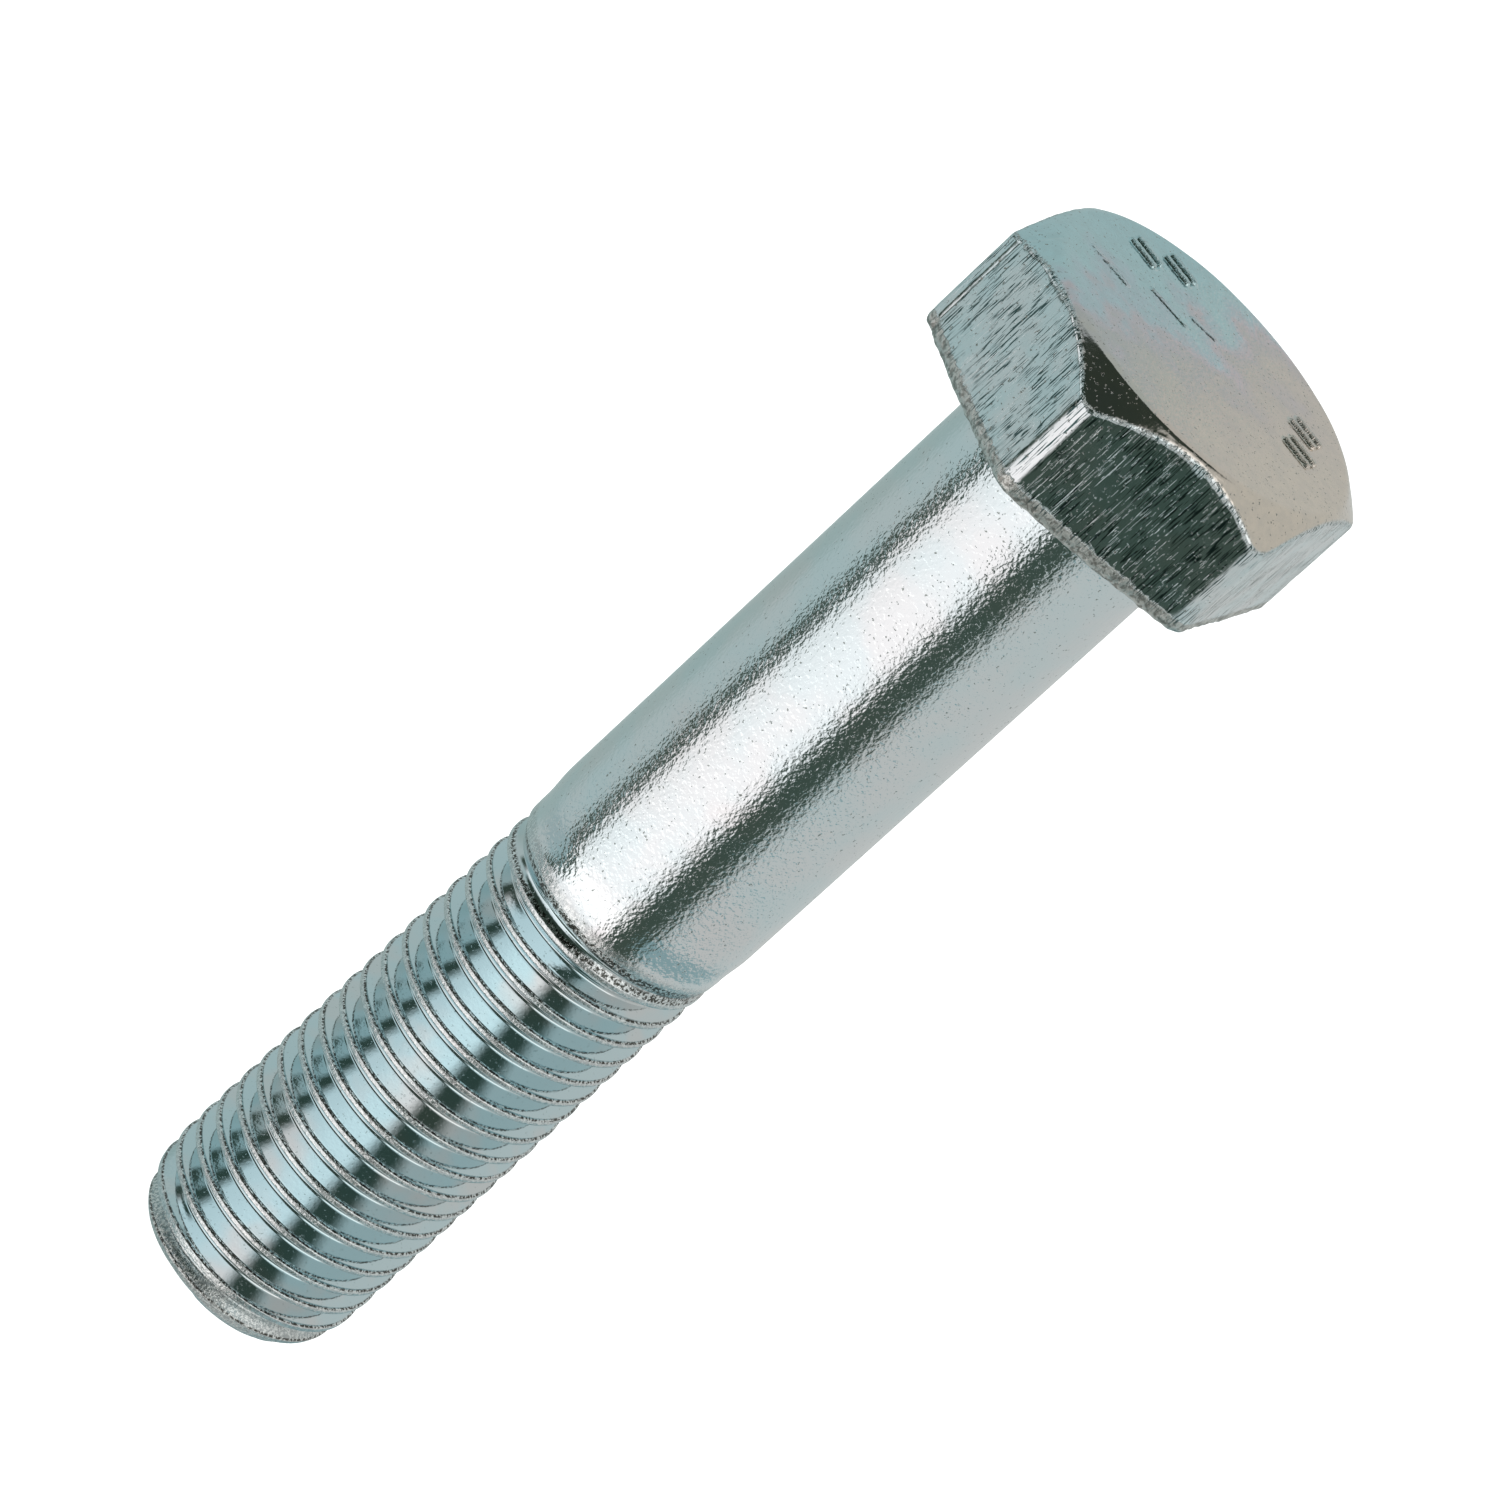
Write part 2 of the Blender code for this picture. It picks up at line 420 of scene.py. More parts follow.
def worn_point(point):
    """A point of the clean head, moved by its raised bars, its rugged edges, its scratch and its knock."""
    around = math.atan2(point.y, point.x)
    outward = Vector(ring_point(1.0, around, 0.0))
    moved = point.copy()
    if point.z > HEAD_TOP - SAME_LEVEL:
        moved.z += BAR_HEIGHT * mark_share(point.x, point.y)
        return moved
    rugged = EDGE_RUGGEDNESS * edge_share(point)
    if rugged > 0.0:
        for size in DENT_SIZES:
            moved += noise.noise_vector(point / size) * rugged
    moved -= outward * SCRATCH_DEPTH * scratch_share(point)
    moved -= outward * KNOCK_DEPTH * knock_share(point)
    return moved


def head_angles():
    """Angles round the head, closer together at the six corners."""
    angles = []
    for face in range(6):
        for column in range(FACE_COLUMNS):
            across = 2.0 * column / FACE_COLUMNS - 1.0
            spread = across * (1.0 + CORNER_CROWDING - CORNER_CROWDING * across * across)
            angles.append((face + spread / 2.0) * TURN / 6.0)
    angles.append(angles[0] + TURN)
    return angles


def make_head():
    angles = head_angles()
    sections = [head_outline(angle) for angle in angles]
    rows = []
    for index in range(len(sections[0])):
        row = []
        for angle, section in zip(angles, sections):
            radius, height = section[index]
            row.append(ring_point(radius, angle, height))
        rows.append(row)
    head = object_from_grid("bolt_head", rows)
    clean = [vert.co.copy() for vert in head.data.vertices]
    noise.seed_set(DENT_SEED)
    for vert in head.data.vertices:
        vert.co = worn_point(vert.co)
    on_top = [point.z > HEAD_TOP - SAME_LEVEL for point in clean]
    marks = [mark_share(point.x, point.y) if top else 0.0 for point, top in zip(clean, on_top)]
    add_attribute(head.data, "edge", [edge_share(point) for point in clean])
    add_attribute(head.data, "cap", [cap_share(point) for point in clean])
    add_attribute(head.data, "mark", marks)
    return head


# ---------------------------------------------------------------- materials

def add_node(tree, kind, values=None, links=None, **settings):
    """A node with its settings, with numbers on its sockets, and with its sockets linked."""
    node = tree.nodes.new(kind)
    for name, value in settings.items():
        setattr(node, name, value)
    for socket, value in (values or {}).items():
        node.inputs[socket].default_value = value
    for socket, source in (links or {}).items():
        tree.links.new(source, node.inputs[socket])
    return node


def noise_node(tree, where, scale, detail=3.0, roughness=0.5):
    return add_node(
        tree,
        "ShaderNodeTexNoise",
        {"Scale": scale, "Detail": detail, "Roughness": roughness},
        {"Vector": where},
    ).outputs["Fac"]


def ramp_between(tree, value, low, high, out_low=0.0, out_high=1.0):
    return add_node(
        tree,
        "ShaderNodeMapRange",
        {"From Min": low, "From Max": high, "To Min": out_low, "To Max": out_high},
        {"Value": value},
        interpolation_type="SMOOTHSTEP",
    ).outputs["Result"]


def math_node(tree, operation, one, two=None):
    node = tree.nodes.new("ShaderNodeMath")
    node.operation = operation
    for index, value in enumerate((one, two)):
        if value is None:
            continue
        if isinstance(value, (int, float)):
            node.inputs[index].default_value = value
        else:
            tree.links.new(value, node.inputs[index])
    return node.outputs["Value"]


def mix_colours(tree, share, one, two):
    """The first colour where the share is 0, and the second where it is 1."""
    node = tree.nodes.new("ShaderNodeMix")
    node.data_type = "RGBA"
    for socket, value in ((0, share), (6, one), (7, two)):
        if isinstance(value, (int, float, tuple)):
            node.inputs[socket].default_value = value
        else:
            tree.links.new(value, node.inputs[socket])
    return node.outputs[2]


def window(tree, value, edges, falling_value=None):
    """1 between two soft edges: it rises over the first pair of values and falls over the second.

    Where falling_value is given, the second edge is placed by it instead of by value.
    """
    rise, fall = edges
    up = ramp_between(tree, value, rise[0], rise[1])
    down = ramp_between(tree, falling_value or value, fall[0], fall[1], 1.0, 0.0)
    return math_node(tree, "MULTIPLY", up, down)


def product(tree, *values):
    total = values[0]
    for value in values[1:]:
        total = math_node(tree, "MULTIPLY", total, value)
    return total


def add_all(tree, values):
    total = values[0]
    for value in values[1:]:
        total = math_node(tree, "ADD", total, value)
    return total


def point_value(tree, name):
    """A value stored on the mesh's points."""
    return add_node(tree, "ShaderNodeAttribute", attribute_name=name).outputs["Fac"]


def stretched(tree, place, across, along):
    """Coordinates in features: so many metres to one across the bolt, and so many along it."""
    return add_node(
        tree,
        "ShaderNodeVectorMath",
        {1: (1.0 / across, 1.0 / across, 1.0 / along)},
        {0: place},
        operation="MULTIPLY",
    ).outputs["Vector"]


def new_metal(name):
    material = bpy.data.materials.new(name)
    material.use_nodes = True
    tree = material.node_tree
    shader = tree.nodes["Principled BSDF"]
    shader.inputs["Metallic"].default_value = 1.0
    place = tree.nodes.new("ShaderNodeTexCoord").outputs["Object"]
    return material, tree, shader, place


def add_relief(tree, shader, height_in_mm):
    bump = add_node(tree, "ShaderNodeBump", {"Strength": 1.0, "Distance": MM}, {"Height": height_in_mm})
    tree.links.new(bump.outputs["Normal"], shader.inputs["Normal"])


def orange_peel(tree, place, height):
    """The plated steel's fine waviness, a little longer along the bolt than across it."""
    waves = noise_node(tree, stretched(tree, place, WAVE_ACROSS, WAVE_ALONG), 1.0, 1.5)
    return math_node(tree, "MULTIPLY", waves, height)


def pits(tree, place, size, rarity):
    """1 in small scattered pits, 0 elsewhere. A higher rarity leaves fewer of them."""
    return ramp_between(tree, noise_node(tree, place, 1.0 / size, 2.5), rarity, rarity + 0.05)


def long_scratches(tree, place, size, rarity):
    """1 in dashes that run along the bolt, 0 between them. Their size is a width and a length."""
    width, length = size
    dashes = noise_node(tree, stretched(tree, place, width, length), 1.0, 1.5)
    return ramp_between(tree, dashes, rarity, rarity + 0.035)


# Colours of the plain shank, of the thread's grooves and crests, and of their stains, painted shade along
# the crests' lips, and pits
SHANK_BLUE = (0.73, 0.82, 0.84, 1.0)
SHANK_GREY = (0.79, 0.82, 0.83, 1.0)
SHANK_BLUSH = (0.84, 0.80, 0.80, 1.0)
GROOVE_BLUE = (0.64, 0.77, 0.80, 1.0)
GROOVE_GREY = (0.72, 0.75, 0.755, 1.0)
RUBBED_METAL = (0.86, 0.88, 0.86, 1.0)
CREST_STAIN_AND_LIP_SHADE = (0.09, 0.09, 0.08, 1.0)
SHANK_PIT = (0.36, 0.39, 0.37, 1.0)

# Colours of the head's sides and top, and of their edges and pits, and the dark strokes of painted shade
# in scratches
SIDE_BLUE = (0.68, 0.79, 0.81, 1.0)
SIDE_GREY = (0.76, 0.80, 0.81, 1.0)
TOP_MOTTLE = (0.42, 0.44, 0.44, 1.0)
EDGE_DIRT = (0.24, 0.23, 0.20, 1.0)
EDGE_METAL = (0.70, 0.70, 0.66, 1.0)
PAINTED_SCRATCH_SHADE = (0.07, 0.12, 0.12, 1.0)
HEAD_PIT = (0.34, 0.35, 0.32, 1.0)

# Thin-film colours across the top face, by how far along the film's ramp they lie
FILM_START = (0.54, 0.74, 0.77, 1.0)
FILM_END = (0.80, 0.71, 0.61, 1.0)
FILM_BETWEEN = (
    (0.30, (0.58, 0.76, 0.78, 1.0)),
    (0.42, (0.62, 0.70, 0.75, 1.0)),
    (0.50, (0.74, 0.64, 0.67, 1.0)),
    (0.56, (0.68, 0.62, 0.61, 1.0)),
    (0.68, (0.73, 0.65, 0.59, 1.0)),
)
FILM_MIDDLE = 0.57
FILM_TURN_PER_METRE = -10.0

# Broad patches, in features per metre
SHANK_CLOUDS = 190.0
BLUSH_PATCHES = 130.0
GROOVE_PATCHES = 150.0
SHANK_GLOSS_PATCHES = 900.0
SIDE_CLOUDS = 330.0
STROKE_PATCHES = 300.0
HEAD_GLOSS_PATCHES = 700.0
FILM_STREAKS = 210.0
FILM_DRIFT = 85.0

# Sizes of the fine marks. Scratches and strokes have a width and a length.
WAVE_ACROSS = 0.27 * MM
WAVE_ALONG = 0.34 * MM
RIPPLE = 0.13 * MM
CREST_GRIT = 0.2 * MM
EDGE_GRIT = 0.32 * MM
MOTTLE = 0.7 * MM
SHANK_PIT_SIZE = 0.24 * MM
HEAD_PIT_SIZE = 0.22 * MM
STROKE_SIZE = (0.09 * MM, 1.5 * MM)
FINE_SCRATCH_SIZE = (0.10 * MM, 1.5 * MM)
LONG_SCRATCH_SIZE = (0.12 * MM, 11.0 * MM)
FINE_SCRATCH_SHIFT = (0.03, 0.05, 0.02)

# Zones. Depths below the crest are in millimetres, and heights are positions along the bolt.
GROOVE_DEPTHS = (0.10, 0.25)
LIP_DEPTHS = ((0.02, 0.05), (0.14, 0.24))
CREST_END = (THREAD_TOP - 0.5 * MM, THREAD_TOP)
TIP_WEAR_END = (0.8 * MM, 3.4 * MM)
STROKES_START = (SEAT + 0.6 * MM, SEAT + 1.4 * MM)
CREST_WEAR = 0.55
CREST_DIRT = 0.45

# Heights of the fine relief, in millimetres
SHANK_WAVE_HEIGHT = 0.038
HEAD_WAVE_HEIGHT = 0.008
RIPPLE_HEIGHT = 0.009
CREST_GRIT_HEIGHT = 0.07
EDGE_GRIT_HEIGHT = 0.07
BAR_GRIT_HEIGHT = 0.22
SHANK_PIT_HEIGHT = -0.014
HEAD_PIT_HEIGHT = -0.03
SCRATCH_HEIGHT = -0.012


def thread_zones(tree, place):
    """Masks from the depth below the crest: in the grooves, on the worn crests and tip, and on the lips
    where a crest meets its flanks, which are given painted shade."""
    depth = point_value(tree, "depth")
    height = add_node(tree, "ShaderNodeSeparateXYZ", links={"Vector": place}).outputs["Z"]
    groove = ramp_between(tree, depth, GROOVE_DEPTHS[0], GROOVE_DEPTHS[1])
    on_thread = ramp_between(tree, height, CREST_END[0], CREST_END[1], 1.0, 0.0)
    crest = math_node(tree, "MULTIPLY", on_thread, math_node(tree, "SUBTRACT", 1.0, groove))
    tip = ramp_between(tree, height, TIP_WEAR_END[0], TIP_WEAR_END[1], 1.0, 0.0)
    rubbed = math_node(tree, "MAXIMUM", math_node(tree, "MULTIPLY", crest, CREST_WEAR), tip)
    lip = window(tree, depth, LIP_DEPTHS)
    return groove, rubbed, lip


def shank_film(tree, place, groove):
    """Colours of the plain shank, pale blue and grey, and darker, bluer ones in the grooves."""
    cloud = ramp_between(tree, noise_node(tree, place, SHANK_CLOUDS, 4.0), 0.36, 0.62)
    colour = mix_colours(tree, cloud, SHANK_BLUE, SHANK_GREY)
    blush = ramp_between(tree, noise_node(tree, place, BLUSH_PATCHES, 3.0), 0.55, 0.70, 0.0, 0.6)
    colour = mix_colours(tree, blush, colour, SHANK_BLUSH)
    patches = ramp_between(tree, noise_node(tree, place, GROOVE_PATCHES, 3.0), 0.50, 0.64)
    groove_colour = mix_colours(tree, patches, GROOVE_BLUE, GROOVE_GREY)
    return mix_colours(tree, groove, colour, groove_colour)


def shank_material():
    material, tree, shader, place = new_metal("zinc_shank")
    groove, rubbed, lip = thread_zones(tree, place)
    grit = noise_node(tree, place, 1.0 / CREST_GRIT, 4.0, 0.65)
    worn = math_node(tree, "MULTIPLY", ramp_between(tree, grit, 0.42, 0.58), rubbed)
    # Dark patches: dirt on the worn crests and tip, and painted shade on the lips beside each crest.
    crest_dirt_and_lip_shade = math_node(tree, "MAXIMUM", lip, math_node(tree, "MULTIPLY", rubbed, CREST_DIRT))
    stain_and_lip_shade = math_node(tree, "MULTIPLY", ramp_between(tree, grit, 0.48, 0.54, 1.0, 0.0), crest_dirt_and_lip_shade)
    open_metal = ramp_between(tree, groove, 0.0, 1.0, 1.0, 0.3)
    pitted = math_node(tree, "MULTIPLY", pits(tree, place, SHANK_PIT_SIZE, 0.67), open_metal)

    colour = mix_colours(tree, worn, shank_film(tree, place, groove), RUBBED_METAL)
    # Crest dirt, and painted shade along the crests' lips.
    colour = mix_colours(tree, stain_and_lip_shade, colour, CREST_STAIN_AND_LIP_SHADE)
    colour = mix_colours(tree, pitted, colour, SHANK_PIT)
    tree.links.new(colour, shader.inputs["Base Color"])

    gloss = noise_node(tree, place, SHANK_GLOSS_PATCHES)
    roughness = add_all(tree, (
        ramp_between(tree, gloss, 0.4, 0.7, 0.03, 0.07),
        math_node(tree, "MULTIPLY", pitted, 0.25),
        math_node(tree, "MULTIPLY", worn, 0.2),
    ))
    tree.links.new(roughness, shader.inputs["Roughness"])

    ripples = math_node(tree, "MULTIPLY", noise_node(tree, place, 1.0 / RIPPLE, 1.0), RIPPLE_HEIGHT)
    waves = math_node(tree, "ADD", orange_peel(tree, place, SHANK_WAVE_HEIGHT), ripples)
    calm_in_grooves = ramp_between(tree, groove, 0.0, 1.0, 1.0, 0.08)
    add_relief(tree, shader, add_all(tree, (
        math_node(tree, "MULTIPLY", waves, calm_in_grooves),
        product(tree, grit, rubbed, CREST_GRIT_HEIGHT),
        math_node(tree, "MULTIPLY", pitted, SHANK_PIT_HEIGHT),
    )))
    return material


def top_film(tree, place):
    """Thin-film colours of the passivated top face: teal on one side, through pink to a warm grey."""
    parts = add_node(tree, "ShaderNodeSeparateXYZ", links={"Vector": place})
    along = math_node(tree, "DIVIDE", parts.outputs["X"], 2.0 * TOP_RADIUS)
    streaks = math_node(tree, "SUBTRACT", noise_node(tree, place, FILM_STREAKS, 4.0, 0.6), 0.5)
    drift = math_node(tree, "SUBTRACT", noise_node(tree, place, FILM_DRIFT, 2.0), 0.5)
    place_on_film = add_all(tree, (
        math_node(tree, "ADD", along, FILM_MIDDLE),
        math_node(tree, "MULTIPLY", streaks, 0.9),
        math_node(tree, "MULTIPLY", drift, 0.5),
        math_node(tree, "MULTIPLY", parts.outputs["Y"], FILM_TURN_PER_METRE),
    ))
    ramp = add_node(tree, "ShaderNodeValToRGB", links={"Fac": place_on_film})
    stops = ramp.color_ramp.elements
    stops[0].position = 0.0
    stops[0].color = FILM_START
    stops[1].position = 1.0
    stops[1].color = FILM_END
    for position, tint in FILM_BETWEEN:
        stops.new(position).color = tint
    return ramp.outputs["Color"]


def head_film(tree, place, cap):
    """The clean plate's colours: pale blue and grey on the sides, thin-film colours on the top."""
    cloud = ramp_between(tree, noise_node(tree, place, SIDE_CLOUDS, 4.0), 0.40, 0.62)
    side_colour = mix_colours(tree, cloud, SIDE_BLUE, SIDE_GREY)
    mottle = ramp_between(tree, noise_node(tree, place, 1.0 / MOTTLE, 4.0, 0.7), 0.3, 0.7, 0.0, 0.22)
    top_colour = mix_colours(tree, mottle, top_film(tree, place), TOP_MOTTLE)
    return mix_colours(tree, cap, side_colour, top_colour)


def ragged_edge(tree, edge, grit):
    """1 on the head's worn edges, with a border broken up by the grit."""
    spread = math_node(tree, "MULTIPLY", math_node(tree, "SUBTRACT", grit, 0.5), 1.2)
    worn = ramp_between(tree, math_node(tree, "ADD", edge, spread), 0.38, 0.62)
    return math_node(tree, "MULTIPLY", worn, math_node(tree, "GREATER_THAN", edge, 0.02))


def head_material():
    material, tree, shader, place = new_metal("zinc_head")
    edge = point_value(tree, "edge")
    mark = point_value(tree, "mark")
    cap = point_value(tree, "cap")
    height = add_node(tree, "ShaderNodeSeparateXYZ", links={"Vector": place}).outputs["Z"]
    above_seat = ramp_between(tree, height, STROKES_START[0], STROKES_START[1])
    on_side = math_node(tree, "MULTIPLY", math_node(tree, "SUBTRACT", 1.0, cap), above_seat)
    grit = noise_node(tree, place, 1.0 / EDGE_GRIT, 4.0, 0.65)
    worn = ragged_edge(tree, edge, grit)
    edge_colour = mix_colours(tree, ramp_between(tree, grit, 0.40, 0.55), EDGE_DIRT, EDGE_METAL)
    patches = ramp_between(tree, noise_node(tree, place, STROKE_PATCHES), 0.36, 0.48)
    # Dark strokes along the sides: painted shade standing in for the shadows inside scratches.
    scratch_shade_strokes = product(tree, long_scratches(tree, place, STROKE_SIZE, 0.56), patches, on_side)
    pitted = pits(tree, place, HEAD_PIT_SIZE, 0.655)

    colour = head_film(tree, place, cap)
    colour = mix_colours(tree, math_node(tree, "MULTIPLY", worn, 0.85), colour, edge_colour)
    # Painted scratch shade on the sides.
    colour = mix_colours(tree, scratch_shade_strokes, colour, PAINTED_SCRATCH_SHADE)
    colour = mix_colours(tree, pitted, colour, HEAD_PIT)
    tree.links.new(colour, shader.inputs["Base Color"])

    gloss = noise_node(tree, place, HEAD_GLOSS_PATCHES)
    roughness = add_all(tree, (
        ramp_between(tree, gloss, 0.4, 0.7, 0.07, 0.13),
        math_node(tree, "MULTIPLY", worn, 0.25),
        math_node(tree, "MULTIPLY", pitted, 0.2),
    ))
    tree.links.new(roughness, shader.inputs["Roughness"])

    moved = add_node(tree, "ShaderNodeVectorMath", {1: FINE_SCRATCH_SHIFT}, {0: place}, operation="ADD")
    fine = long_scratches(tree, moved.outputs["Vector"], FINE_SCRATCH_SIZE, 0.645)
    long = long_scratches(tree, place, LONG_SCRATCH_SIZE, 0.68)
    scratches = math_node(tree, "MULTIPLY", math_node(tree, "ADD", fine, long), on_side)
    add_relief(tree, shader, add_all(tree, (
        orange_peel(tree, place, HEAD_WAVE_HEIGHT),
        math_node(tree, "MULTIPLY", scratches, SCRATCH_HEIGHT),
        product(tree, grit, worn, EDGE_GRIT_HEIGHT),
        product(tree, grit, mark, BAR_GRIT_HEIGHT),
        math_node(tree, "MULTIPLY", pitted, HEAD_PIT_HEIGHT),
    )))
    return material


# ---------------------------------------------------------------- studio

CAMERA_AZIMUTH = math.radians(-78.13)
CAMERA_ELEVATION = math.radians(25.32)
CAMERA_DISTANCE = 414.57 * MM
CAMERA_ROLL = math.radians(47.38)
CAMERA_TARGET = Vector((-1.4, 0.0, 51.2)) * MM
LENS = 163.566
SENSOR_WIDTH = 36.0
CLIP_START = 10.0 * MM
CLIP_END = 10.0

# The tent's colours, as it shines on the bolt
STUDIO_FRONT = math.radians(-78.34)
LEFT_WALL = (0.47, 0.55, 0.55, 1.0)
FAR_LEFT_WALL = (0.37, 0.46, 0.45, 1.0)
RIGHT_WALL = (0.57, 0.59, 0.58, 1.0)
SKIRT = (0.18, 0.33, 0.36, 1.0)
SKIRT_SHARES = (0.45, 0.8)
GAP = (0.055, 0.08, 0.065, 1.0)
KEY = (1.15, 1.10, 1.10, 1.0)
KEY_EDGE = (0.99, 0.97, 0.97, 1.0)
LOW_KEY = (1.40, 1.36, 1.34, 1.0)
SECOND_LIGHT = (1.2, 1.2, 1.18, 1.0)
OPENING = (0.035, 0.05, 0.04, 1.0)
WHITE = (1.0, 1.0, 1.0, 1.0)

# Where its panels start and stop, in degrees of azimuth from the studio's front, plus to the right.
# Each has the soft edge it starts over and the one it stops over.
FAR_LEFT_SPAN = ((-175.0, -160.0), (-135.0, -105.0))
GAP_SPAN = ((-82.5, -74.0), (40.0, 61.0))
KEY_SPAN = ((-70.0, -54.0), (5.0, 25.0))
OPENING_SPAN = ((-85.0, -75.0), (10.0, 20.0))
FLOOR_GAP_SPAN = ((-62.0, -52.0), (5.0, 15.0))
SECOND_LIGHT_SPAN = ((16.0, 24.0), (62.0, 74.0))
OVERHEAD_SPAN = ((-95.0, -80.0), (110.0, 130.0))
LEFT_TO_RIGHT = (-60.0, 60.0)
KEY_EDGE_TO_MIDDLE = (-60.0, -15.0)
SLANT = 24.0
LOW_SHIFT = 8.0

# Heights in degrees from level
FLOOR_GAP_HEIGHTS = ((-82.0, -72.0), (-60.0, -52.0))
WALL_FOOT = (-58.0, -50.0)
LOW_PART = (-34.0, -27.5)
SLANT_PART = (-19.0, -10.0)
FAR_LEFT_TOP = (-5.0, 10.0)
KEY_TOP = (2.0, 8.0)
SECOND_LIGHT_HEIGHTS = ((6.0, 12.0), (46.0, 54.0))
OVERHEAD_START = (58.0, 66.0)

FLOOR_SIZE = 3.0
FLOOR_HEIGHT = -0.2 * MM
FLOOR_COLOUR = (0.9, 0.9, 0.9, 1.0)


def make_camera():
    data = bpy.data.cameras.new("camera")
    data.lens = LENS
    data.sensor_width = SENSOR_WIDTH
    data.clip_start = CLIP_START
    data.clip_end = CLIP_END
    camera = bpy.data.objects.new("camera", data)
    bpy.context.scene.collection.objects.link(camera)
    back = Vector((
        math.cos(CAMERA_AZIMUTH) * math.cos(CAMERA_ELEVATION),
        math.sin(CAMERA_AZIMUTH) * math.cos(CAMERA_ELEVATION),
        math.sin(CAMERA_ELEVATION),
    ))
    level = (-back).to_track_quat("-Z", "Y").to_matrix().to_4x4()
    camera.matrix_world = (
        Matrix.Translation(CAMERA_TARGET + back * CAMERA_DISTANCE)
        @ level
        @ Matrix.Rotation(CAMERA_ROLL, 4, "Z")
    )
    bpy.context.scene.camera = camera


def studio_direction(tree):
    """Azimuth from the studio's front and height from level, both in degrees."""
    toward = tree.nodes.new("ShaderNodeTexCoord").outputs["Generated"]
    turned = add_node(
        tree,
        "ShaderNodeVectorRotate",
        {"Angle": -STUDIO_FRONT},
        {"Vector": toward},
        rotation_type="Z_AXIS",
    ).outputs["Vector"]
    parts = add_node(tree, "ShaderNodeSeparateXYZ", links={"Vector": turned})
    azimuth = math_node(tree, "ARCTAN2", parts.outputs["Y"], parts.outputs["X"])
    azimuth = math_node(tree, "DEGREES", azimuth)
    height = math_node(tree, "DEGREES", math_node(tree, "ARCSINE", parts.outputs["Z"]))
    return azimuth, height


def tent_walls(tree, azimuth, height, low, above_foot):
    """Pale walls, darker at their foot and at the far left."""
    left, right = LEFT_TO_RIGHT
    walls = mix_colours(tree, ramp_between(tree, azimuth, left, right), LEFT_WALL, RIGHT_WALL)
    skirt_share = ramp_between(tree, azimuth, left, right, SKIRT_SHARES[0], SKIRT_SHARES[1])
    skirt = product(tree, low, above_foot, skirt_share)
    walls = mix_colours(tree, skirt, walls, SKIRT)
    far_left = math_node(
        tree,
        "MULTIPLY",
        window(tree, azimuth, FAR_LEFT_SPAN),
        ramp_between(tree, height, FAR_LEFT_TOP[0], FAR_LEFT_TOP[1], 1.0, 0.0),
    )
    return mix_colours(tree, far_left, walls, FAR_LEFT_WALL)


def key_light(tree, colour, azimuth, height, low, above_foot):
    """The broad bright panel in front, between two dark gaps. Below level it slants to one side."""
    slant = ramp_between(tree, height, SLANT_PART[0], SLANT_PART[1], 0.0, SLANT)
    from_right = math_node(tree, "ADD", azimuth, slant)
    from_left = math_node(tree, "SUBTRACT", from_right, math_node(tree, "MULTIPLY", low, LOW_SHIFT))
    below_top = ramp_between(tree, height, KEY_TOP[0], KEY_TOP[1], 1.0, 0.0)
    level = math_node(tree, "MULTIPLY", below_top, above_foot)
    gaps = math_node(tree, "MULTIPLY", window(tree, from_left, GAP_SPAN, from_right), level)
    key = math_node(tree, "MULTIPLY", window(tree, from_left, KEY_SPAN, from_right), level)
    inward = ramp_between(tree, azimuth, KEY_EDGE_TO_MIDDLE[0], KEY_EDGE_TO_MIDDLE[1])
    key_colour = mix_colours(tree, inward, KEY_EDGE, KEY)
    key_colour = mix_colours(tree, low, key_colour, LOW_KEY)
    return mix_colours(tree, key, mix_colours(tree, gaps, colour, GAP), key_colour)


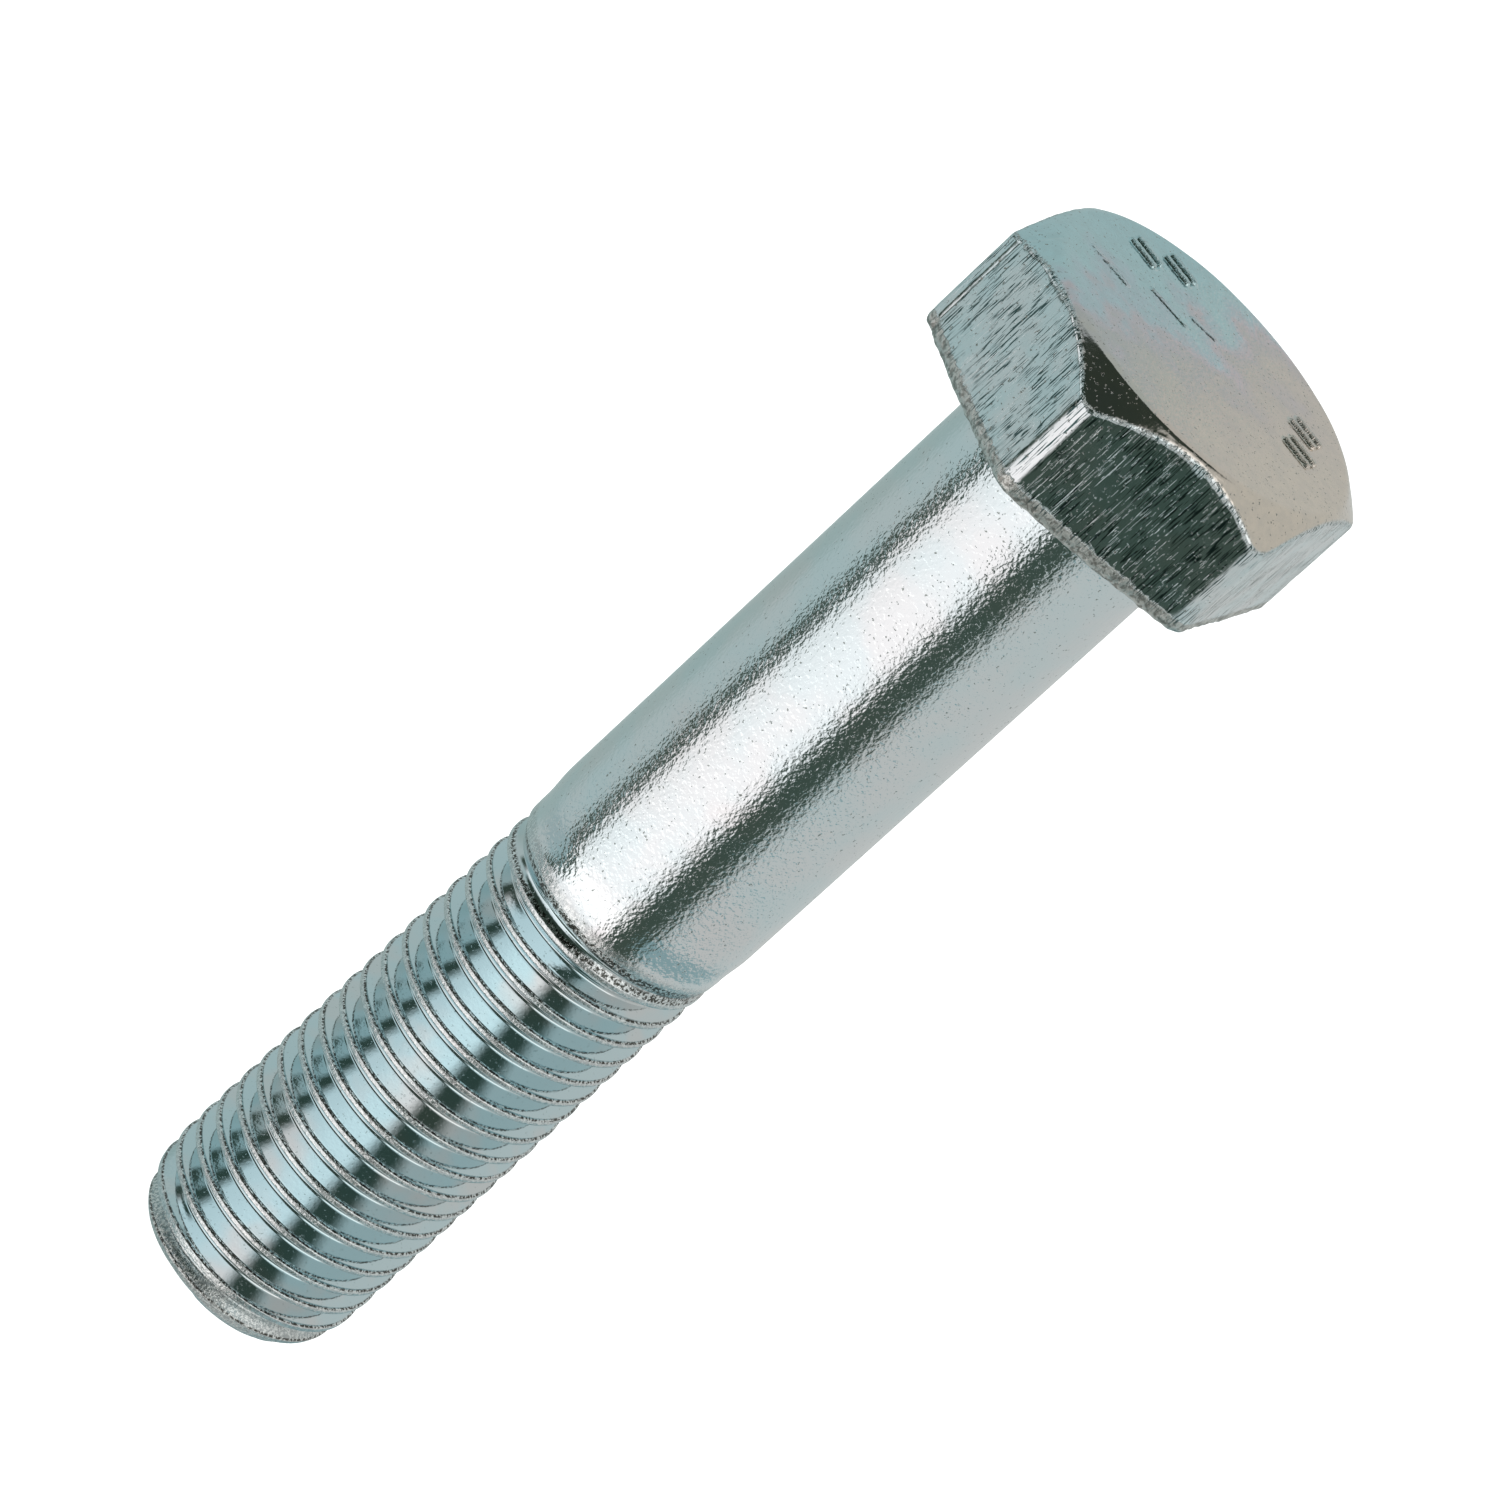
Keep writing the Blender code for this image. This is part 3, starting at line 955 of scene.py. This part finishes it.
def make_world():
    """A pale tent with dark gaps and a dark opening overhead, as a studio for shiny metal."""
    world = bpy.data.worlds.new("studio")
    bpy.context.scene.world = world
    world.use_nodes = True
    tree = world.node_tree
    azimuth, height = studio_direction(tree)
    above_foot = ramp_between(tree, height, WALL_FOOT[0], WALL_FOOT[1])
    low = ramp_between(tree, height, LOW_PART[0], LOW_PART[1], 1.0, 0.0)
    above_key = ramp_between(tree, height, KEY_TOP[0], KEY_TOP[1])
    overhead = ramp_between(tree, height, OVERHEAD_START[0], OVERHEAD_START[1])

    colour = tent_walls(tree, azimuth, height, low, above_foot)
    colour = key_light(tree, colour, azimuth, height, low, above_foot)
    for span, at_height, panel in (
        (OPENING_SPAN, above_key, OPENING),
        (FLOOR_GAP_SPAN, window(tree, height, FLOOR_GAP_HEIGHTS), GAP),
        (SECOND_LIGHT_SPAN, window(tree, height, SECOND_LIGHT_HEIGHTS), SECOND_LIGHT),
        (OVERHEAD_SPAN, overhead, OPENING),
    ):
        share = math_node(tree, "MULTIPLY", window(tree, azimuth, span), at_height)
        colour = mix_colours(tree, share, colour, panel)

    seen = tree.nodes.new("ShaderNodeLightPath").outputs["Is Camera Ray"]
    colour = mix_colours(tree, seen, colour, WHITE)
    tree.links.new(colour, tree.nodes["Background"].inputs["Color"])


def make_floor():
    """A white table, lit evenly. It is left out of the bolt's reflections, which show the tent."""
    builder = bmesh.new()
    bmesh.ops.create_grid(builder, x_segments=1, y_segments=1, size=FLOOR_SIZE)
    mesh = bpy.data.meshes.new("floor")
    builder.to_mesh(mesh)
    builder.free()
    floor = bpy.data.objects.new("floor", mesh)
    bpy.context.scene.collection.objects.link(floor)
    floor.location.z = FLOOR_HEIGHT
    material = bpy.data.materials.new("floor_white")
    material.use_nodes = True
    shader = material.node_tree.nodes["Principled BSDF"]
    shader.inputs["Base Color"].default_value = FLOOR_COLOUR
    shader.inputs["Emission Color"].default_value = WHITE
    shader.inputs["Emission Strength"].default_value = 1.0
    mesh.materials.append(material)
    floor.visible_glossy = False


def main():
    make_camera()
    make_world()
    make_floor()
    bpy.context.scene.view_settings.view_transform = "Standard"
    shank = make_shank()
    head = make_head()
    shank.data.materials.append(shank_material())
    head.data.materials.append(head_material())
    for piece in (shank, head):
        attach(piece, "root")
        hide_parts("hex_bolt")


main()
